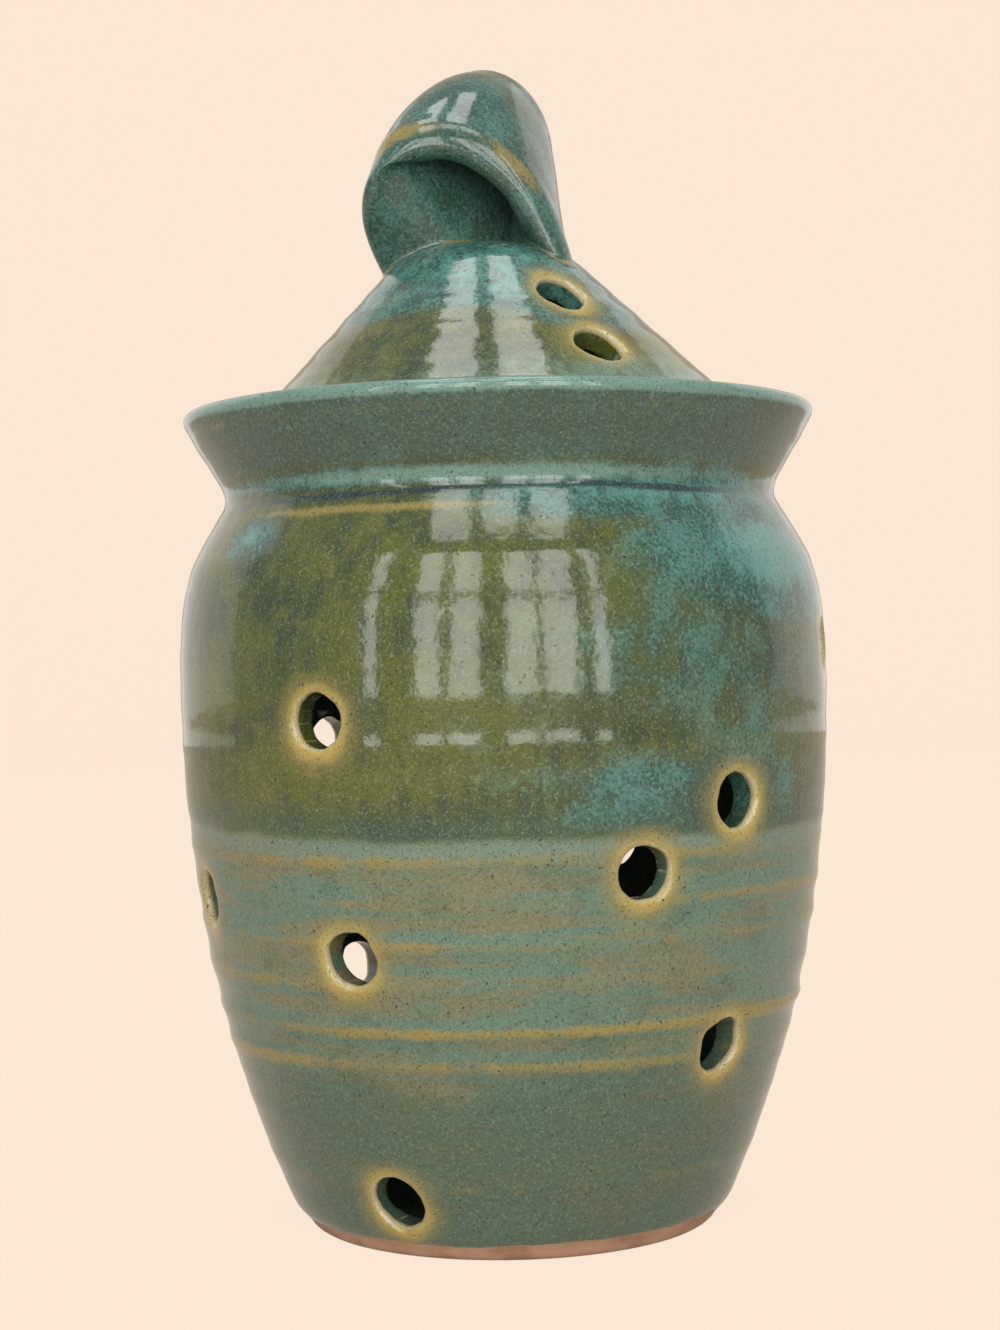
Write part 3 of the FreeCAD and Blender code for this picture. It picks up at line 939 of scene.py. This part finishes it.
class Glaze(Surface):
    """The stoneware glaze: two coats that meet, break, pool and leave the clay bare."""

    def __init__(self, name):
        super().__init__(name)
        coords = self.put("ShaderNodeTexCoord").outputs["Object"]
        scaled = self.put("ShaderNodeVectorMath", (coords, (1000.0,) * 3), operation="MULTIPLY")
        self.mm = scaled.outputs[0]
        self.fine = self.noise(1.6, 2.0)
        self.grain = self.noise(3.4, 1.0, shift=40.0)
        self.cloud = self.noise(0.16, 4.0, shift=10.0)
        self.drift = self.noise(0.045, 3.0, (1.0, 1.0, 1.6), 25.0)
        self.streak = self.noise(0.5, 3.0, (1.0, 1.0, 0.22), 60.0)
        self.rows = self.noise(0.30, 4.0, (0.16, 0.16, 1.7), 75.0)
        self.specks = self.ramp(self.noise(1.7, 0.0, shift=90.0), 0.79, 0.82)

    def noise(self, scale, detail=3.0, stretch=(1.0, 1.0, 1.0), shift=0.0):
        places = (self.mm, stretch, (shift,) * 3)
        moved = self.put("ShaderNodeVectorMath", places, operation="MULTIPLY_ADD").outputs[0]
        made = self.put("ShaderNodeTexNoise")
        self.feed(made.inputs["Vector"], moved)
        made.inputs["Scale"].default_value = scale
        made.inputs["Detail"].default_value = detail
        return made.outputs[0]

    def upper_coat(self):
        """The second coat: olive, and teal to turquoise where it ran together."""
        teal = self.layer("teal")
        olive = self.ramp(self.sum(self.drift, self.sway(self.streak, 0.5)), 0.34, 0.62)
        olive = self.mix(olive, OLIVE_DEEP, OLIVE)
        olive = self.mix(self.ramp(self.cloud, 0.50, 0.72, 0.0, 0.55), olive, OLIVE_OCHRE)
        sea = self.ramp(self.sum(self.cloud, self.sway(self.fine, 0.8)), 0.38, 0.66)
        sea = self.mix(sea, TEAL_DEEP, TEAL)
        bright = self.ramp(self.sum(teal, self.sway(self.streak, 0.9)), 0.86, 1.25, 0.0, 0.8)
        sea = self.mix(bright, sea, TURQUOISE)
        reach = self.sum(
            teal, self.sway(self.cloud, 0.6), self.sway(self.drift, 0.8), self.sway(self.fine, 0.25),
        )
        return self.mix(self.ramp(reach, 0.18, 0.72), olive, sea)

    def lower_coat(self, curtain, edge):
        """The first coat: sage and grey in rows, deeper near the foot, paler under the second coat."""
        rows = self.ramp(self.sum(self.rows, self.sway(self.drift, 0.7)), 0.42, 0.64)
        colour = self.mix(rows, SAGE, SAGE_GREY)
        low_down = self.ramp(self.sum(curtain, self.sway(self.drift, 30.0)), -44.0, -24.0, 0.75, 0.0)
        colour = self.mix(low_down, colour, SAGE_DEEP)
        colour = self.mix(self.ramp(self.cloud, 0.50, 0.72, 0.0, 0.45), colour, SAGE_DEEP)
        under_edge = self.times(self.ramp(curtain, -4.4, -1.0), self.ramp(edge, 0.2, 1.0, 0.7, 0.0))
        return self.mix(under_edge, colour, UNDER_EDGE)

    def coats(self):
        """Both coats, with the thick dark edge at which the second one ends."""
        curtain = self.layer("curtain")
        edge = self.sum(curtain, self.sway(self.fine, 1.2), self.sway(self.cloud, 1.6))
        above = self.ramp(edge, -0.5, 1.3)
        over_edge = self.times(above, self.ramp(curtain, 1.5, 7.0, 0.55, 0.0))
        upper = self.mix(over_edge, self.upper_coat(), TEAL_DEEP)
        colour = self.mix(above, self.lower_coat(curtain, edge), upper)
        return self.mix(self.layer("even"), colour, FLARE_GREEN)

    def broken(self, colour):
        """The glaze where it thins to ochre and gold, round holes and on ridges, or pools and darkens."""
        hole = self.layer("hole")
        ridge = self.sum(self.layer("ridge"), self.sway(self.streak, 0.5), self.sway(self.cloud, 0.7))
        colour = self.mix(self.ramp(ridge, 0.32, 0.88, 0.0, 0.9), colour, OCHRE)
        halo = self.sum(self.layer("drip"), self.sway(self.cloud, 2.6), self.sway(self.fine, 1.2))
        on_skin = self.ramp(hole, -0.9, -0.15)
        colour = self.mix(self.times(self.ramp(halo, 0.5, 5.2, 0.62, 0.0), on_skin), colour, OCHRE)
        colour = self.mix(self.times(self.ramp(halo, -0.2, 2.3, 0.95, 0.0), on_skin), colour, HALO)
        # Pale: glaze bands, and painted light: a painted highlight on the jar's lip and a painted
        # reflection on the lid's lower cone
        pale = self.sum(self.layer("pale"), self.sway(self.streak, 0.6))
        colour = self.mix(self.ramp(pale, 0.25, 0.85, 0.0, 0.85), colour, PALE_BAND_AND_PAINTED_LIGHT)
        dark = self.sum(self.layer("dark"), self.sway(self.fine, 1.0), self.sway(self.cloud, 0.8))
        colour = self.mix(self.ramp(dark, 0.45, 0.85, 0.0, 0.92), colour, BLUE_BLACK)
        edge = self.ramp(self.sum(hole, self.sway(self.fine, 0.9)), 0.0, 0.55, 0.9, 0.0)
        return self.mix(self.times(edge, self.ramp(hole, -0.5, 0.0)), colour, CREAM)

    def grained(self, colour):
        """Light and dark grain all over, with a few iron specks."""
        tone = self.sum(self.sway(self.grain, 0.55), self.sway(self.fine, 0.35))
        colour = self.mix(self.ramp(tone, 0.01, 0.17, 0.0, 0.42), colour, PALE_GRAIN)
        colour = self.mix(self.ramp(tone, -0.01, -0.17, 0.0, 0.62), colour, DARK_GRAIN)
        return self.mix(self.times(self.specks, 0.85), colour, SPECK)

    def bare_clay(self):
        """Fired clay without glaze."""
        clay = self.mix(self.ramp(self.cloud, 0.40, 0.64), CLAY, CLAY_RED)
        return self.mix(self.ramp(self.grain, 0.50, 0.70, 0.0, 0.35), clay, CLAY_PALE)

    def finish(self):
        """Feeds the shader: colour, gloss and a gentle unevenness, with bare clay rough."""
        naked = self.ramp(self.sum(self.layer("bare"), self.sway(self.cloud, 1.6)), -0.1, 0.25)
        glazed = self.grained(self.broken(self.coats()))
        self.feed(self.shader.inputs["Base Color"], self.mix(naked, glazed, self.bare_clay()))
        sheen = self.sum(self.ramp(self.fine, 0.35, 0.7, 0.08, 0.13), self.times(self.specks, 0.12))
        self.feed(self.shader.inputs["Roughness"], self.sum(sheen, self.times(naked, 0.68)))
        self.shader.inputs["IOR"].default_value = 1.6
        swell = self.times(self.noise(0.35, 2.0, shift=5.0), 0.10)
        grit = self.times(self.grain, self.sum(self.times(naked, 0.06), 0.006))
        bump = self.put("ShaderNodeBump")
        bump.inputs["Strength"].default_value = 0.5
        bump.inputs["Distance"].default_value = 0.001
        self.feed(bump.inputs["Height"], self.sum(swell, grit, self.times(self.specks, -0.02)))
        self.feed(self.shader.inputs["Normal"], bump.outputs[0])
        return self.material


def build_stage():
    """A pale peach floor and backdrop that read as one even ground."""
    half_width = 6.0
    front = -6.0
    corner_start = 2.2
    corner_radius = 0.8
    top = 5.0
    outline = [(front, 0.0)]
    for step in range(13):
        bow = step / 12 * math.pi / 2
        ahead = corner_start + corner_radius * math.sin(bow)
        outline.append((ahead, corner_radius * (1 - math.cos(bow))))
    outline.append((corner_start + corner_radius, top))
    points = [(x, y, z) for y, z in outline for x in (-half_width, half_width)]
    faces = [(2 * i, 2 * i + 1, 2 * i + 3, 2 * i + 2) for i in range(len(outline) - 1)]
    mesh = bpy.data.meshes.new("backdrop")
    mesh.from_pydata(points, [], faces)
    mesh.polygons.foreach_set("use_smooth", np.ones(len(mesh.polygons), bool))
    mesh.materials.append(peach_paper())
    backdrop = bpy.data.objects.new("backdrop", mesh)
    bpy.context.scene.collection.objects.link(backdrop)


def peach_paper():
    """Matt paper that takes the pot's shadow, and shows its own peach to the camera and in the glaze."""
    paper = Surface("peach_paper")
    paper.shader.inputs["Base Color"].default_value = (*FLOOR, 1.0)
    paper.shader.inputs["Roughness"].default_value = 0.9
    glow = paper.put("ShaderNodeEmission", ((*PEACH, 1.0),)).outputs[0]
    path = paper.put("ShaderNodeLightPath")
    seen = paper.times(path.outputs["Is Camera Ray"], PEACH_SEEN)
    mirrored = paper.times(path.outputs["Is Glossy Ray"], PEACH_MIRRORED)
    both = (paper.sum(seen, mirrored), paper.shader.outputs[0], glow)
    blend = paper.put("ShaderNodeMixShader", both).outputs[0]
    paper.feed(paper.tree.nodes["Material Output"].inputs["Surface"], blend)
    return paper.material


def build_lights():
    """A plain sky, windows with panes in front, a skylight above and a pale wall on each side."""
    world = bpy.data.worlds.new("studio")
    bpy.context.scene.world = world
    world.use_nodes = True
    ground = world.node_tree.nodes["Background"]
    ground.inputs["Color"].default_value = (*WORLD_COLOUR, 1.0)
    ground.inputs["Strength"].default_value = WORLD_STRENGTH
    for column, (degrees, distance, width) in enumerate(PANES):
        turn = math.radians(degrees)
        for row, (low, high) in enumerate(PANE_ROWS):
            place = (distance * math.sin(turn), -distance * math.cos(turn), 0.5 * (low + high))
            facing = (0.0, 0.0, place[2])
            name = "pane_%d_%d" % (column, row)
            add_lamp(name, place, facing, (width, high - low), PANE_GLOW, WINDOW_COLOUR)
    for number, (x, y) in enumerate(SKY_PANES):
        name = "sky_pane_%d" % number
        add_lamp(name, (x, y, SKY_LEVEL), (x, y, 0.0), SKY_SIZE, SKY_GLOW, WINDOW_COLOUR)
    for number, (x, y) in enumerate(WALL_PLACES):
        name = "side_wall_%d" % number
        facing = (0.0, 0.0, WALL_MIDDLE)
        add_lamp(name, (x, y, WALL_MIDDLE), facing, WALL_SIZE, WALL_GLOW, WALL_COLOUR)


def add_lamp(name, place, target, size, glow, colour):
    """A rectangular lamp of an even glow, turned to a target."""
    data = bpy.data.lights.new(name, "AREA")
    data.shape = "RECTANGLE"
    data.size, data.size_y = size
    data.energy = glow * size[0] * size[1] * math.pi
    data.color = colour
    lamp = bpy.data.objects.new(name, data)
    lamp.location = place
    lamp.rotation_euler = (Vector(target) - Vector(place)).to_track_quat("-Z", "Y").to_euler()
    bpy.context.scene.collection.objects.link(lamp)


def build_camera():
    data = bpy.data.cameras.new("camera")
    data.sensor_width = 36.0
    data.lens = CAMERA_LENS
    data.shift_x = CAMERA_SHIFT
    camera = bpy.data.objects.new("camera", data)
    camera.location = [value * MM for value in CAMERA_PLACE]
    level = Euler((math.pi / 2, 0.0, 0.0)).to_matrix()
    camera.rotation_euler = (level @ Euler((0.0, 0.0, math.radians(CAMERA_ROLL))).to_matrix()).to_euler()
    bpy.context.scene.collection.objects.link(camera)
    bpy.context.scene.camera = camera


build_camera()
build_stage()
build_lights()
bpy.context.scene.view_settings.view_transform = "Standard"

jar = build_jar()
lid, lid_form = build_lid()
handle = build_handle(lid_form)
for piece, node, body, slot_name in (
    (jar, "jar", "jar", "jar_glaze"),
    (lid, "lid", "lid", "lid_glaze"),
    (handle, "lid_handle", "lid", "handle_glaze"),
):
    piece.data.materials.append(Glaze(slot_name).finish())
    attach(piece, body)
    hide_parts(node)
